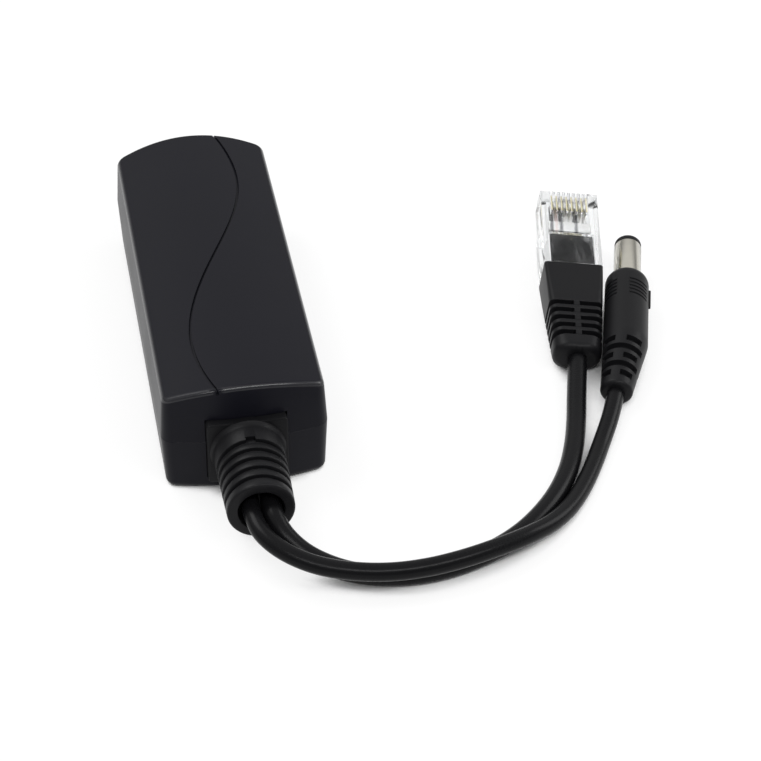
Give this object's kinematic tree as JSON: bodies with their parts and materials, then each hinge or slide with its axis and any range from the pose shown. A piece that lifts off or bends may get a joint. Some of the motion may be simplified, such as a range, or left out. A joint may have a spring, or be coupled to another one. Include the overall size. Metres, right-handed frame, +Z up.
{
  "type": "poe splitter",
  "caption": "Slim black housing with a network jack at one end and a ribbed strain relief at the other, with short leads to a clear network plug and a round power plug.",
  "frame": {"origin": "middle of the housing's underside, on the surface it lies on", "axes": "+Y towards the network jack, +Z up, +X to the side where the plugs lie"},
  "size_m": [0.1038, 0.12, 0.0235],
  "materials": {
    "black_plastic": "fine spark-eroded black ABS",
    "black_rubber": "semi-matte black moulded PVC",
    "dark_plastic": "black glass-filled plastic",
    "pale_plastic": "off-white plastic",
    "board": "green solder mask on glass epoxy",
    "gold": "thin gold flash on bronze",
    "nickel": "bright nickel plate",
    "ferrite": "fine grey ferrite",
    "copper": "enamelled copper wire",
    "can_sleeve": "dark blue shrink sleeve",
    "ceramic": "fired ceramic",
    "wire_coat": "thin coloured wire insulation",
    "clear_plastic": "clear polycarbonate"
  },
  "bodies": {
    "root": {"bottom_shell": "black_plastic", "top_shell": "black_plastic", "strain_relief": "black_rubber", "circuit_board": "board", "jack_housing": "dark_plastic", "jack_insert": "dark_plastic", "jack_contacts": "gold", "lan_magnetics": "dark_plastic", "transformer_core": "ferrite", "transformer_bobbin": "pale_plastic", "transformer_winding": "copper", "input_capacitor": "can_sleeve", "output_capacitor": "can_sleeve", "bridge_rectifiers": "dark_plastic", "output_inductor": "ferrite", "inductor_winding": "copper", "controller_chip": "dark_plastic", "switch_transistor": "dark_plastic", "output_diode": "dark_plastic", "optocoupler": "pale_plastic", "chip_resistors": "ceramic", "data_wires": "wire_coat", "power_wires": "wire_coat", "data_cable": "black_rubber", "power_cable": "black_rubber", "data_plug_body": "clear_plastic", "data_plug_contacts": "gold", "data_plug_load_bar": "pale_plastic", "data_plug_wires": "wire_coat", "data_plug_boot": "black_rubber", "power_plug_handle": "black_rubber", "power_plug_barrel": "nickel", "power_plug_insulator": "dark_plastic", "power_plug_contact": "gold"}
  },
  "joints": []
}
